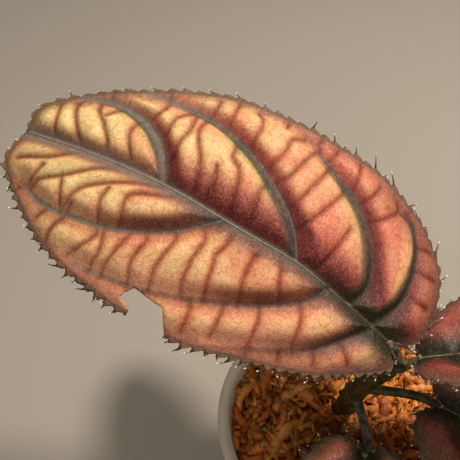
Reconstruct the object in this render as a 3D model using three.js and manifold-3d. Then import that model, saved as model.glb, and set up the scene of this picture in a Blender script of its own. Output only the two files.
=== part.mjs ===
// Potted ardisia: five puckered, toothed leaves on one short stem, rooted in
// long-fibred moss in a small frosted plastic pot.
// Millimetres, +Z up. The origin is the centre of the pot's underside, and the
// largest leaf reaches out to the back left.

import * as THREE from "three";
import { mergeVertices } from "three/addons/utils/BufferGeometryUtils.js";
import Module from "manifold-3d";

const wasm = await Module();
wasm.setup();

// Driving sizes of the pot
const POT_HEIGHT = 68;
const POT_BASE_RADIUS = 28;
const POT_TOP_RADIUS = 37.4;
const WALL = 1.5;
const FLOOR = 2;
const LIP_WIDTH = 2.2;
const LIP_DEPTH = 3.2;
const DRAIN_RADIUS = 1.8;
const DRAIN_CIRCLE = 15;
const DRAINS = 5;
const POT_SIDES = 40;

// Driving sizes of the moss
const MOSS_LEVEL = 63;
const MOSS_MOUND = 3;
const MOSS_LUMP = 1.1;
const MOSS_RINGS = 8;
const MOSS_SIDES = 40;

// Gap that is kept between one piece and the piece that carries it
const CLEARANCE = 0.3;

// Driving sizes of the stem. The route runs from its foot in the moss to the tip.
const STEM_ROUTE = [[0, 4, 50], [0.5, 3.5, 64], [2.5, 1.5, 84], [7, -2.5, 102], [9.5, -5, 111]];
const STEM_RADII = [3.4, 3.4, 3, 2.5, 0.9];
const STEM_SIDES = 10;
const STEM_STEPS = 22;

// Sizes shared by all leaves
const BLADE_THICKNESS = 0.9;
const TOOTH_LENGTH = 1.3;
const TOOTH_LEAN = 0.35;
const TOOTH_BAND = 0.05;
const VEIN_STEP = 2;
const RIB_SIDES = 8;
const RIB_REACH = 0.93;
const RIB_TIP_RADIUS = 0.45;
const RIB_SINK = 0.5;
const BACK_CROWDING = 0.6;

const vector = (p) => new THREE.Vector3(...p);
const flat = (p) => new THREE.Vector2(...p);
const clamp = THREE.MathUtils.clamp;
const smooth = (x) => THREE.MathUtils.smoothstep(x, 0, 1);
const radians = THREE.MathUtils.degToRad;

// The large leaf. Outline, midrib and side veins are points in the blade laid
// flat: millimetres to the right of its long axis, then along it from the base.
const MAIN_LEAF = {
  name: "leaf_main",
  base: [3.9, -2.8, 117.9],
  heading: 156,
  rise: 19,
  roll: 24,
  arch: 44,
  droop: 5,
  halfWidth: 29,
  fold: 0,
  attach: [8.6, -4.1, 107],
  petioleRadius: 1.35,
  teeth: 46,
  rows: 7,
  puff: 1.9,
  midrib: [[0, 0], [3, 22], [4.1, 32], [3.8, 48], [4, 68], [3.2, 80], [2, 92], [0, 107]],
  right: [[0, 0], [4, -8], [15, -10.2], [27, -6], [34.5, 6], [38.3, 20], [38.3, 37],
    [37, 52], [33.3, 69], [25.3, 84], [15, 100], [7, 108], [0, 107]],
  left: [[0, 0], [-4.4, -4.6], [-9.5, 1.5], [-17, 15], [-22, 31], [-26.3, 48],
    [-26.2, 67], [-22.8, 86], [-15.5, 100], [-8.6, 108], [0, 107]],
  rightVeins: [
    [[1, 7], [9, 2], [16.5, 0.8], [25.5, 2], [31.5, 6], [33.8, 12]],
    [[2, 15], [8.5, 12.4], [17.5, 15.5], [25, 22], [30.3, 32], [34, 44]],
    [[4.1, 32], [11, 36.6], [17.5, 45], [22.8, 56], [25.2, 67.5], [23.5, 85]],
    [[4, 68.6], [11.2, 73.3], [15.7, 80.5], [17, 90], [14.4, 99]],
  ],
  leftVeins: [
    [[0.9, 6], [-3.2, 9.5], [-12, 18], [-18, 28.5], [-22.5, 39]],
    [[3, 22], [-2, 24.5], [-7.3, 31.2], [-11.6, 38.7], [-16.8, 50.6], [-20.3, 61.3], [-22.3, 73],
      [-22.6, 79]],
    [[3.7, 52], [-5.2, 61.5], [-11, 73], [-13.3, 83], [-14, 93], [-11.8, 100.5]],
    [[4.2, 67], [0, 75.6], [-6.2, 84.6], [-11, 86.8]],
    [[3.3, 79], [-1.2, 85], [-6, 90.6], [-9.7, 96]],
    [[2.1, 91], [-3.1, 95.7], [-7.1, 104.4]],
  ],
  bite: { from: 0.48, to: 0.61, depth: 5 },
};

// The other leaves share one outline, set by their length and half width
const OTHER_LEAVES = [
  {
    name: "leaf_right", base: [13.6, -3.2, 110.6], heading: -11, rise: 12, roll: 18,
    arch: 34, droop: 1.5, fold: 20, lobe: 0.01, attach: [8.8, -4.3, 107.6], length: 86, halfWidth: 19.5,
  },
  {
    name: "leaf_front_right", base: [23.5, -7.5, 90.5], heading: -37, rise: -5, roll: -4,
    arch: 42, droop: 4, fold: 6, lobe: 0.06, attach: [2.8, 1.3, 84.5], length: 74, halfWidth: 22,
  },
  {
    name: "leaf_front", base: [1.5, -18.5, 83], heading: -108, rise: -7, roll: 4,
    arch: 40, droop: 4, fold: 6, lobe: 0.06, attach: [2, 2, 79.5], length: 68, halfWidth: 20,
  },
  {
    name: "leaf_back", base: [0.5, 14, 98], heading: 121, rise: -4, roll: 0,
    arch: 44, droop: 4, fold: 5, lobe: 0.05, attach: [4.8, -0.5, 94], length: 66, halfWidth: 20,
  },
];
const OTHER_TEETH = 24;
const OTHER_ROWS = 4;
const OTHER_PUFF = 1.6;
const OTHER_PETIOLE_RADIUS = 1.3;
const OTHER_VEINS = [0.07, 0.2, 0.37, 0.55, 0.73];

// Fills in a leaf that is given by its length and half width alone
function fullLeaf(leaf) {
  const { length, halfWidth, lobe } = leaf;
  const at = (x, y) => [x * halfWidth, y * length];
  const edge = (side) => [at(0, 0), at(0.25 * side, -lobe), at(0.62 * side, 0.06 - lobe), at(0.94 * side, 0.2),
    at(side, 0.42), at(0.88 * side, 0.66), at(0.52 * side, 0.87), at(0, 1)];
  const vein = (side) => (start) => {
    const reach = 0.82 * Math.sin(Math.PI * clamp(start + 0.2, 0, 1) ** 0.8) ** 0.6;
    return [at(0, start), at(0.34 * side * reach, start + 0.035), at(0.72 * side * reach, start + 0.12),
      at(side * reach, start + 0.25)];
  };
  return {
    ...leaf,
    petioleRadius: OTHER_PETIOLE_RADIUS,
    teeth: OTHER_TEETH,
    rows: OTHER_ROWS,
    puff: OTHER_PUFF,
    midrib: [at(0, 0), at(0.03, 0.5), at(0, 1)],
    right: edge(1),
    left: edge(-1),
    rightVeins: OTHER_VEINS.map(vein(1)),
    leftVeins: OTHER_VEINS.map((start) => start + 0.03).map(vein(-1)),
  };
}

// Turns a closed geometry into a solid for joining and cutting
function toSolid(geometry) {
  geometry.deleteAttribute("normal");
  geometry.deleteAttribute("uv");
  const merged = mergeVertices(geometry, 1e-4);
  return new wasm.Manifold(new wasm.Mesh({
    numProp: 3,
    vertProperties: new Float32Array(merged.attributes.position.array),
    triVerts: new Uint32Array(merged.index.array),
  }));
}

// Turns a solid back into a geometry with normals for display
function toGeometry(solid) {
  const mesh = solid.getMesh();
  const geometry = new THREE.BufferGeometry();
  geometry.setAttribute("position", new THREE.BufferAttribute(mesh.vertProperties, 3));
  geometry.setIndex(new THREE.BufferAttribute(mesh.triVerts, 1));
  geometry.computeVertexNormals();
  return geometry;
}

// A closed tube of changing radius along a smooth route
function taperedTube(points, radii, sides, steps) {
  const curve = new THREE.CatmullRomCurve3(points);
  const frames = curve.computeFrenetFrames(steps, false);
  const positions = [];
  const indices = [];
  for (let i = 0; i <= steps; i += 1) {
    const centre = curve.getPointAt(i / steps);
    const place = curve.getUtoTmapping(i / steps) * (radii.length - 1);
    const before = Math.min(Math.floor(place), radii.length - 2);
    const radius = THREE.MathUtils.lerp(radii[before], radii[before + 1], place - before);
    for (let k = 0; k < sides; k += 1) {
      const angle = 2 * Math.PI * k / sides;
      const point = centre.clone()
        .addScaledVector(frames.normals[i], radius * Math.cos(angle))
        .addScaledVector(frames.binormals[i], radius * Math.sin(angle));
      positions.push(point.x, point.y, point.z);
    }
  }
  for (let i = 0; i < steps; i += 1) {
    for (let k = 0; k < sides; k += 1) {
      const a = i * sides + k;
      const b = i * sides + (k + 1) % sides;
      indices.push(a, b, a + sides, b, b + sides, a + sides);
    }
  }
  const last = steps * sides;
  for (let k = 1; k < sides - 1; k += 1) {
    indices.push(0, k + 1, k);
    indices.push(last, last + k, last + k + 1);
  }
  const geometry = new THREE.BufferGeometry();
  geometry.setAttribute("position", new THREE.Float32BufferAttribute(positions, 3));
  geometry.setIndex(indices);
  return geometry;
}

// Distance in the flat blade from a point to the nearest vein
function veinDistance(point, veins) {
  const nearest = new THREE.Vector2();
  let best = Infinity;
  for (const vein of veins) {
    for (let i = 0; i < vein.length - 1; i += 1) {
      const along = nearest.subVectors(vein[i + 1], vein[i]);
      const offset = new THREE.Vector2().subVectors(point, vein[i]);
      const share = clamp(offset.dot(along) / along.lengthSq(), 0, 1);
      best = Math.min(best, offset.addScaledVector(along, -share).length());
    }
  }
  return best;
}

// Samples a vein's spline into short straight pieces
function sampled(points) {
  const curve = new THREE.SplineCurve(points.map(flat));
  return curve.getSpacedPoints(Math.ceil(curve.getLength() / VEIN_STEP));
}

// Place in the leaf's own frame of a point of the flat blade, lifted off it by height
function bladePoint(leaf, point, height) {
  const length = leaf.midrib.at(-1)[1];
  const half = radians(leaf.arch) / 2;
  const bend = 2 * half / length;
  const tilt = half - bend * point.y;
  const across = point.x / leaf.halfWidth;
  const folded = Math.tan(radians(leaf.fold)) * (Math.hypot(point.x, 2) - 2);
  const lift = height + folded - leaf.droop * across ** 2;
  const along = (Math.sin(half) - Math.sin(tilt)) / bend;
  const up = (Math.cos(tilt) - Math.cos(half)) / bend;
  return new THREE.Vector3(point.x, along - lift * Math.sin(tilt), up + lift * Math.cos(tilt));
}

// Height of the puckered upper face: low along veins and margin, high between
function puckerHeight(leaf, veins, point, edgeGap) {
  const fromVein = veinDistance(point, veins);
  const fromEdge = smooth(edgeGap / 4);
  return leaf.puff * (1 - Math.exp(-((fromVein / 3) ** 2))) * fromEdge;
}

// Pulls the margin in along a ragged stretch where a piece of the blade is missing
function bitten(leaf, point, inward, share) {
  if (!leaf.bite) {
    return point;
  }
  const { from, to, depth } = leaf.bite;
  const into = smooth((share - from) / 0.018) * smooth((to - share) / 0.018);
  return point.addScaledVector(inward, depth * into);
}

// One half of the blade as points in the flat: rows of columns, then the toothed margin
function halfBlade(leaf, edgePoints, side, veins) {
  const midrib = new THREE.SplineCurve(leaf.midrib.map(flat));
  const margin = new THREE.SplineCurve(edgePoints.map(flat));
  const { teeth, rows } = leaf;
  const edgeAt = (share) => {
    const tangent = margin.getTangentAt(share);
    const outward = new THREE.Vector2(tangent.y, -tangent.x).multiplyScalar(side);
    const inward = outward.clone().negate();
    const point = side < 0 ? bitten(leaf, margin.getPointAt(share), inward, share) : margin.getPointAt(share);
    return { point, tangent, outward };
  };
  const columns = [];
  for (let j = 1; j < teeth; j += 1) {
    const share = j / teeth;
    const root = midrib.getPointAt((1 - BACK_CROWDING) * share + BACK_CROWDING * share ** 2);
    const edge = edgeAt(share).point;
    const column = [];
    for (let i = 0; i <= rows; i += 1) {
      const point = root.clone().lerp(edge, (1 - TOOTH_BAND) * i / rows);
      const height = puckerHeight(leaf, veins, point, point.distanceTo(edge));
      column.push({ point, height });
    }
    columns.push(column);
  }
  const rim = [];
  for (let k = 1; k < 2 * teeth; k += 1) {
    const { point, tangent, outward } = edgeAt(k / (2 * teeth));
    if (k % 2 === 1) {
      point.addScaledVector(outward, TOOTH_LENGTH).addScaledVector(tangent, TOOTH_LEAN);
    }
    rim.push({ point, height: 0 });
  }
  return { columns, rim };
}

// The blade as one closed solid, split into triangles alike on both faces
function bladeSolid(leaf) {
  const veins = [leaf.midrib, ...leaf.rightVeins, ...leaf.leftVeins].map(sampled);
  const length = leaf.midrib.at(-1)[1];
  const places = [
    { point: new THREE.Vector2(0, 0), height: 0 },
    { point: new THREE.Vector2(leaf.midrib.at(-1)[0], length), height: 0 },
  ];
  const base = 0;
  const apex = 1;
  const triangles = [];
  const boundary = [];
  let sharedRoots = null;
  for (const side of [1, -1]) {
    const { columns, rim } = halfBlade(leaf, side > 0 ? leaf.right : leaf.left, side, veins);
    const add = (place) => places.push(place) - 1;
    const grid = columns.map((column) => column.map((place, i) => (i === 0 && sharedRoots ? null : add(place))));
    if (sharedRoots) {
      grid.forEach((column, j) => {
        column[0] = sharedRoots[j];
      });
    } else {
      sharedRoots = grid.map((column) => column[0]);
    }
    const edge = [base, ...rim.map(add), apex];
    const face = (a, b, c) => triangles.push(side > 0 ? [a, b, c] : [a, c, b]);
    const first = grid[0];
    const final = grid.at(-1);
    for (let i = 0; i < leaf.rows; i += 1) {
      face(base, first[i + 1], first[i]);
      face(apex, final[i], final[i + 1]);
    }
    face(base, edge[1], first.at(-1));
    face(first.at(-1), edge[1], edge[2]);
    face(apex, final.at(-1), edge.at(-2));
    face(final.at(-1), edge.at(-3), edge.at(-2));
    for (let j = 0; j < grid.length - 1; j += 1) {
      const here = grid[j];
      const next = grid[j + 1];
      for (let i = 0; i < leaf.rows; i += 1) {
        face(here[i], here[i + 1], next[i + 1]);
        face(here[i], next[i + 1], next[i]);
      }
      const k = 2 * (j + 1);
      face(here.at(-1), edge[k], edge[k + 1]);
      face(here.at(-1), edge[k + 1], next.at(-1));
      face(next.at(-1), edge[k + 1], edge[k + 2]);
    }
    const loop = side > 0 ? edge : edge.toReversed();
    boundary.push(...loop.slice(0, -1));
  }
  const under = places.length;
  const positions = [];
  for (const drop of [0, BLADE_THICKNESS]) {
    for (const { point, height } of places) {
      positions.push(...bladePoint(leaf, point, height - drop).toArray());
    }
  }
  const indices = [];
  for (const [a, b, c] of triangles) {
    indices.push(a, b, c, a + under, c + under, b + under);
  }
  boundary.forEach((a, i) => {
    const b = boundary[(i + 1) % boundary.length];
    indices.push(a, a + under, b + under, a, b + under, b);
  });
  const geometry = new THREE.BufferGeometry();
  geometry.setAttribute("position", new THREE.Float32BufferAttribute(positions, 3));
  geometry.setIndex(indices);
  return toSolid(geometry);
}

// The petiole, which runs on under the blade as its midrib
function ribSolid(leaf, attach) {
  const midrib = new THREE.SplineCurve(leaf.midrib.map(flat));
  const steps = 7;
  const ribPoints = [];
  const ribRadii = [];
  for (let i = 0; i <= steps; i += 1) {
    const share = RIB_REACH * i / steps;
    const radius = THREE.MathUtils.lerp(leaf.petioleRadius * 0.85, RIB_TIP_RADIUS, i / steps);
    const depth = BLADE_THICKNESS + RIB_SINK * radius;
    ribPoints.push(bladePoint(leaf, midrib.getPointAt(share), -depth));
    ribRadii.push(radius);
  }
  const forward = new THREE.Vector3().subVectors(ribPoints[1], ribPoints[0]).normalize();
  const approach = attach.distanceTo(ribPoints[0]) * 0.35;
  const elbow = ribPoints[0].clone().addScaledVector(forward, -approach);
  const points = [attach, elbow, ...ribPoints];
  const radii = [leaf.petioleRadius * 1.15, leaf.petioleRadius, ...ribRadii];
  return toSolid(taperedTube(points, radii, RIB_SIDES, 2 * points.length));
}

function material(color, roughness) {
  return new THREE.MeshStandardMaterial({ color, roughness, metalness: 0 });
}

const leafFinish = material("#b5764f", 0.42);
const stemFinish = material("#4c4a22", 0.5);
const mossFinish = material("#b5722b", 0.95);
const potFinish = material("#cfc8ba", 0.35);

function namedMesh(name, geometry, finish) {
  const mesh = new THREE.Mesh(geometry, finish);
  mesh.name = name;
  return mesh;
}

// Inside radius of the pot at a height
function innerRadius(height) {
  return POT_BASE_RADIUS - WALL + (POT_TOP_RADIUS - POT_BASE_RADIUS) * height / POT_HEIGHT;
}

// Tapered pot with a turned-out lip, a flat underside and drain holes
function makePot() {
  const lipBottom = POT_HEIGHT - LIP_DEPTH;
  const outerAt = (height) => innerRadius(height) + WALL;
  const lipOuter = POT_TOP_RADIUS + LIP_WIDTH;
  const profile = [
    [0, 0],
    [POT_BASE_RADIUS - 0.6, 0],
    [outerAt(0.8), 0.8],
    [outerAt(lipBottom), lipBottom],
    [lipOuter - 0.5, lipBottom + 0.3],
    [lipOuter, lipBottom + 1.2],
    [lipOuter - 0.2, POT_HEIGHT - 0.6],
    [lipOuter - 0.9, POT_HEIGHT],
    [innerRadius(POT_HEIGHT) + 0.5, POT_HEIGHT],
    [innerRadius(POT_HEIGHT - 0.6), POT_HEIGHT - 0.6],
    [innerRadius(FLOOR), FLOOR],
    [0, FLOOR],
  ];
  let pot = toSolid(new THREE.LatheGeometry(profile.map(flat), POT_SIDES).rotateX(Math.PI / 2));
  for (let i = 0; i < DRAINS; i += 1) {
    const angle = 2 * Math.PI * i / DRAINS;
    const drain = new THREE.CylinderGeometry(DRAIN_RADIUS, DRAIN_RADIUS, 10, 12)
      .rotateX(Math.PI / 2)
      .translate(DRAIN_CIRCLE * Math.cos(angle), DRAIN_CIRCLE * Math.sin(angle), FLOOR);
    pot = pot.subtract(toSolid(drain));
  }
  return namedMesh("pot", toGeometry(pot), potFinish);
}

// Route and width of the stem, with a share of extra radius all round
function stemTube(extra) {
  const radii = STEM_RADII.map((radius) => radius + extra);
  return toSolid(taperedTube(STEM_ROUTE.map(vector), radii, STEM_SIDES, STEM_STEPS));
}

// Lumpy mound that fills the pot to below its lip, with a plain hole for the stem
function makeMoss() {
  const floor = FLOOR + CLEARANCE;
  const brim = innerRadius(MOSS_LEVEL) - CLEARANCE - 0.3;
  const profile = [[0, floor], [innerRadius(floor) - CLEARANCE - 0.3, floor], [brim, MOSS_LEVEL]];
  for (let i = 1; i <= MOSS_RINGS; i += 1) {
    const share = 1 - i / MOSS_RINGS;
    profile.push([brim * share, MOSS_LEVEL + MOSS_MOUND * (1 - share ** 2)]);
  }
  const geometry = new THREE.LatheGeometry(profile.map(flat), MOSS_SIDES).rotateX(Math.PI / 2);
  const position = geometry.attributes.position;
  for (let i = 0; i < position.count; i += 1) {
    const [x, y, z] = [position.getX(i), position.getY(i), position.getZ(i)];
    if (z > MOSS_LEVEL + 0.01) {
      const lump = Math.sin(x / 3.1 + 1) * Math.cos(y / 2.7) + Math.sin((x - y) / 4.3);
      position.setZ(i, z + MOSS_LUMP * lump * Math.min(1, (z - MOSS_LEVEL) / 1.5));
    }
  }
  const moss = toSolid(geometry).subtract(stemTube(CLEARANCE));
  return namedMesh("moss", toGeometry(moss), mossFinish);
}

function makeStem() {
  return namedMesh("stem", toGeometry(stemTube(0)), stemFinish);
}

// One leaf: blade, midrib and petiole in one solid, its foot cut clear of the stem
function makeLeaf(leaf) {
  const mesh = namedMesh(leaf.name, new THREE.BufferGeometry(), leafFinish);
  mesh.position.copy(vector(leaf.base));
  mesh.rotation.set(radians(leaf.rise), radians(-leaf.roll), radians(leaf.heading - 90), "ZXY");
  mesh.updateMatrixWorld(true);
  const toLeaf = mesh.matrixWorld.clone().invert();
  const attach = mesh.worldToLocal(vector(leaf.attach));
  const whole = bladeSolid(leaf).add(ribSolid(leaf, attach));
  const stemSpace = stemTube(CLEARANCE).transform(toLeaf.toArray());
  mesh.geometry = toGeometry(whole.subtract(stemSpace));
  return mesh;
}

const plant = new THREE.Group();
plant.name = "potted_ardisia";
plant.add(makePot(), makeMoss(), makeStem());
for (const leaf of [MAIN_LEAF, ...OTHER_LEAVES.map(fullLeaf)]) {
  plant.add(makeLeaf(leaf));
}

export default plant;
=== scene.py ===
"""Dresses a small potted ardisia: puckered copper leaves, gland-tipped bristles, moss and a frosted cup."""

import math
from functools import partial, reduce

import bpy
import numpy as np
from bpy.props import FloatProperty, FloatVectorProperty, IntProperty, PointerProperty
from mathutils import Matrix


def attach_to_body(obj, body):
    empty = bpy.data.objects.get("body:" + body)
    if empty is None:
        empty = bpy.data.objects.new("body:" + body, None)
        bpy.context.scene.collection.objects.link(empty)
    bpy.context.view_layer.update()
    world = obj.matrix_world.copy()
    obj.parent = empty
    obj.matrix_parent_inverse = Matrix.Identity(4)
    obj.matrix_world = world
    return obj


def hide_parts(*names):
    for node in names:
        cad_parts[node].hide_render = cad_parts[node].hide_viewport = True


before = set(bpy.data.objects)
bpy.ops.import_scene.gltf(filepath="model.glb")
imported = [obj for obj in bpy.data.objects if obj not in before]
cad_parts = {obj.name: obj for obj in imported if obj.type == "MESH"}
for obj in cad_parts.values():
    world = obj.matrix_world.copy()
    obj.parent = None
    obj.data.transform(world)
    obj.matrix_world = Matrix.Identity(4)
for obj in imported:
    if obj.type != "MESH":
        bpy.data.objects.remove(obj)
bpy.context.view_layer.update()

bl_info = {
    "name": "Potted Ardisia",
    "version": (1, 0, 0),
    "blender": (4, 5, 0),
    "location": "View3D > Sidebar > Ardisia",
    "description": "Builds a small ardisia with patterned leaves in a moss-filled cup",
    "category": "Add Mesh",
}

MM = 0.001
ROOT = "root"

# Leaves as the frame has them, in millimetres. Flat points are to the right of
# the blade's long axis, then along it from the base. The large leaf's points were
# picked by hand on the photo. A scratch program turned them into millimetres on the
# blade, and many were then rounded or moved by hand.
MAIN_LEAF = {
    "name": "leaf_main", "base": (3.9, -2.8, 117.9), "heading": 156, "rise": 19, "roll": 24,
    "arch": 44, "droop": 5, "half_width": 29, "fold": 0, "attach": (8.6, -4.1, 107), "petiole": 1.35,
    "teeth": 46, "puff": 1.9, "finish": "leaf copper", "petiole_finish": "lilac",
    "midrib": [(0, 0), (3, 22), (4.1, 32), (3.8, 48), (4, 68), (3.2, 80), (2, 92), (0, 107)],
    "right": [(0, 0), (4, -8), (15, -10.2), (27, -6), (34.5, 6), (38.3, 20), (38.3, 37),
              (37, 52), (33.3, 69), (25.3, 84), (15, 100), (7, 108), (0, 107)],
    "left": [(0, 0), (-4.4, -4.6), (-9.5, 1.5), (-17, 15), (-22, 31), (-26.3, 48),
             (-26.2, 67), (-22.8, 86), (-15.5, 100), (-8.6, 108), (0, 107)],
    "veins": [
        [(1, 7), (9, 2), (16.5, 0.8), (25.5, 2), (31.5, 6), (33.8, 12)],
        [(2, 15), (8.5, 12.4), (17.5, 15.5), (25, 22), (30.3, 32), (34, 44)],
        [(4.1, 32), (11, 36.6), (17.5, 45), (22.8, 56), (25.2, 67.5), (23.5, 85)],
        [(4, 68.6), (11.2, 73.3), (15.7, 80.5), (17, 90), (14.4, 99)],
        [(0.9, 6), (-3.2, 9.5), (-12, 18), (-18, 28.5), (-22.5, 39)],
        [(3, 22), (-2, 24.5), (-7.3, 31.2), (-11.6, 38.7), (-16.8, 50.6), (-20.3, 61.3),
         (-22.3, 73), (-22.6, 79)],
        [(3.7, 52), (-5.2, 61.5), (-11, 73), (-13.3, 83), (-14, 93), (-11.8, 100.5)],
    ],
    "net": [
        [(4.2, 67), (0, 75.6), (-6.2, 84.6), (-11, 86.8)], [(3.3, 79), (-1.2, 85), (-6, 90.6), (-9.7, 96)],
        [(2.1, 91), (-3.1, 95.7), (-7.1, 104.4)], [(3, 100), (7, 101.5), (10.5, 103.5)],
        [(-14.5, 91.1), (-17.3, 91.9)], [(-13.8, 86), (-18.8, 87.3), (-22, 87)],
        [(-13.4, 76.5), (-15.7, 76.8), (-18.6, 78.5), (-21.8, 80.7)],
        [(-8.8, 72.8), (-4.7, 74.4), (-1.8, 72.9), (1.4, 66.5)], [(-12.6, 88), (-9.2, 89.6), (-6, 91)],
        [(14.3, 48.1), (7.8, 47.1)], [(14.1, 60.1), (8.1, 58.1)], [(12.2, 90.4), (17, 87.8)],
        [(-9.1, 97.7), (-6, 96.9)], [(-1.8, 48.6), (-5.1, 49.7), (-8.2, 48.9), (-11.8, 48.2)],
        [(-17.2, 73.7), (-20.1, 74.2)], [(-11, 97), (-13.4, 101)], [(22, 79), (27, 81)],
        [(16, 92), (20, 93.5)], [(24.3, 63), (34, 64)], [(33.4, 40), (38, 40)], [(33.9, 50), (37, 50)],
        [(31.5, 36), (38, 34)], [(33, 8), (36, 6)], [(11.7, 99), (7.4, 96), (3, 92)],
        [(13, 93), (10.5, 90), (5.6, 85.5)], [(10.7, 82.5), (5.5, 79)], [(24.3, 72), (20.5, 75), (14.7, 75)],
        [(19, 70.4), (14.6, 71), (9.7, 70.4)], [(19.6, 68.4), (12.8, 64), (6.3, 62)],
        [(18, 58), (16, 55), (6.6, 52)], [(33.5, 58.4), (31.3, 56), (23.5, 55.6)],
        [(31.2, 47.4), (27.3, 47.4), (20.7, 49)], [(32.8, 39.9), (28.2, 41.7), (21.5, 43.6)],
        [(26.7, 36), (15, 39.5)], [(23.6, 30), (12, 35)], [(18, 24), (8.4, 26)], [(30.5, 68.4), (25, 68)],
        [(38, 27), (29, 26.6)], [(34.4, 19.5), (27, 22.5)], [(31.3, 12), (23.6, 18.4)],
        [(-6.2, 59.5), (-14.1, 60.3), (-17.7, 59.6)], [(-3.6, 53.5), (-8.9, 53.9), (-14.8, 53.1)],
        [(2.2, 40.7), (-1.8, 41.7), (-7.4, 41.2)], [(-9.5, 65.2), (-15.7, 66), (-18.8, 64.9)],
        [(-10.8, 69.7), (-13.7, 70.1), (-20, 71.2)], [(-17.4, 48.7), (-24, 47.6)],
        [(-14.7, 41.7), (-21.8, 41.1)], [(-10.5, 34.4), (-12.6, 33.3), (-18, 32.4)],
        [(-4.5, 26.5), (-7.6, 24.6), (-12.8, 23.3)], [(-10.8, 85.6), (-15.6, 86)],
        [(-3.4, 79.2), (-7.6, 79.4), (-12, 77.3)], [(0.7, 34.8), (-3.5, 33.5)], [(-18.5, 32.6), (-21, 31.6)],
        [(-16.2, 24.8), (-18.4, 23.7)], [(-12.6, 16.9), (-15.1, 15.6)], [(-8.5, 10.5), (-10.8, 7.7)],
        [(31.3, 11), (31.6, 6.4)], [(26, 2.6), (27.4, -3)], [(20, 1), (20.6, -6)], [(13, 1.4), (12.4, -6)],
    ],
    "bite": [(-30, 50.3), (-26.3, 50.6), (-23.9, 52.4), (-21.2, 54.2), (-20.9, 58), (-20.5, 62.3),
             (-22.4, 63.9), (-24.1, 64.4), (-24.7, 62.8), (-25.4, 61), (-30, 60.6)],
}

# The other leaves share one outline, set by their length and half width, and the
# places along the midrib where their veins start
OTHER_LEAVES = [
    {"name": "leaf_right", "base": (13.6, -3.2, 110.6), "heading": -11, "rise": 12, "roll": 18,
     "arch": 34, "droop": 1.5, "fold": 20, "lobe": 0.01, "attach": (8.8, -4.3, 107.6),
     "length": 86, "half_width": 19.5, "finish": "leaf wine", "petiole_finish": "olive"},
    {"name": "leaf_front_right", "base": (23.5, -7.5, 90.5), "heading": -37, "rise": -5, "roll": -4,
     "arch": 42, "droop": 4, "fold": 6, "lobe": 0.06, "attach": (2.8, 1.3, 84.5),
     "length": 74, "half_width": 22, "finish": "leaf bronze", "petiole_finish": "olive"},
    {"name": "leaf_front", "base": (1.5, -18.5, 83), "heading": -108, "rise": -7, "roll": 4,
     "arch": 40, "droop": 4, "fold": 6, "lobe": 0.06, "attach": (2, 2, 79.5),
     "length": 68, "half_width": 20, "finish": "leaf bronze", "petiole_finish": "lilac"},
    {"name": "leaf_back", "base": (0.5, 14, 98), "heading": 121, "rise": -4, "roll": 0,
     "arch": 44, "droop": 4, "fold": 5, "lobe": 0.05, "attach": (4.8, -0.5, 94),
     "length": 66, "half_width": 20, "finish": "leaf copper", "petiole_finish": "olive"},
]
VEIN_STARTS = (0.07, 0.2, 0.37, 0.55, 0.73)

# Margin: the length of a tooth in millimetres, and where along the tooth it peaks
TOOTH_LENGTH = 0.85
TOOTH_PEAK = 0.7

# Net of small veins: how far an end may run on to meet a vein
NET_JOIN = 6.5

# Grey bands beside the veins: widths along a vein, and their share near the tip
BAND_PLACES = (0, 0.3, 0.6, 1)
BAND_WIDTHS = (3, 4.8, 3.6, 2)
BAND_NEAR_TIP = 0.55

# Relief of the blade, in millimetres: the rise of a panel and how far from a vein it
# is full, the depth and reach of a crease, and the rise and reach of the lines along
# veins and midrib. The left half's panels are flatter by a share.
PANEL_RISE = 1.35
PANEL_REACH = 2.7
CREASE_DEPTH = 1.3
CREASE_REACH = 1.1
VEIN_LINES = ((-0.25, 0.5), (0.16, 0.25))
MIDRIB_LINES = ((-0.3, 0.9), (0.3, 0.35))
LEFT_CALM = 0.3

# Bristles: the radius along one in millimetres, from its root to its gland, and the
# number between two teeth with their sizes
BRISTLE_PLACES = (0, 0.16, 0.34, 0.52, 0.68, 0.8, 0.86, 0.92, 0.97, 1)
BRISTLE_RADII = (0.56, 0.44, 0.3, 0.21, 0.15, 0.11, 0.14, 0.19, 0.17, 0.03)
BRISTLE_SIDES = 6
BETWEEN_TEETH = 3
BETWEEN_SIZES = (0.3, 0.7)

# Stem and petioles, in millimetres; a ring is a share of the stem's length
STEM_ROUTE = [(0, 4, 50), (0.5, 3.5, 64), (2.5, 1.5, 84), (7, -2.5, 102), (9.5, -5, 111)]
STEM_RADII = (3.4, 3.4, 3.0, 2.5, 0.9)
STEM_SIDES = 28
LEAF_RINGS = (0.42, 0.5, 0.68, 0.86)
PETIOLE_SIDES = 16

# Cup, in millimetres
POT_HEIGHT = 68
POT_BASE_RADIUS = 28
POT_TOP_RADIUS = 37.4
WALL = 1.5
FLOOR = 2
LIP_WIDTH = 2.2
LIP_DEPTH = 3.2
DRAIN_RADIUS = 1.8
DRAIN_CIRCLE = 15
DRAINS = 5
CUP_STEPS = 144

# Moss, in millimetres: its bed lies below the strands
MOSS_LEVEL = 63
MOSS_MOUND = 3
MOSS_GAP = 0.6
BED_SINK = 3
BED_RINGS = 26
BED_STEPS = 120
STRAND_PLACES = 11
STRAND_SIDES = 7

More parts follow.
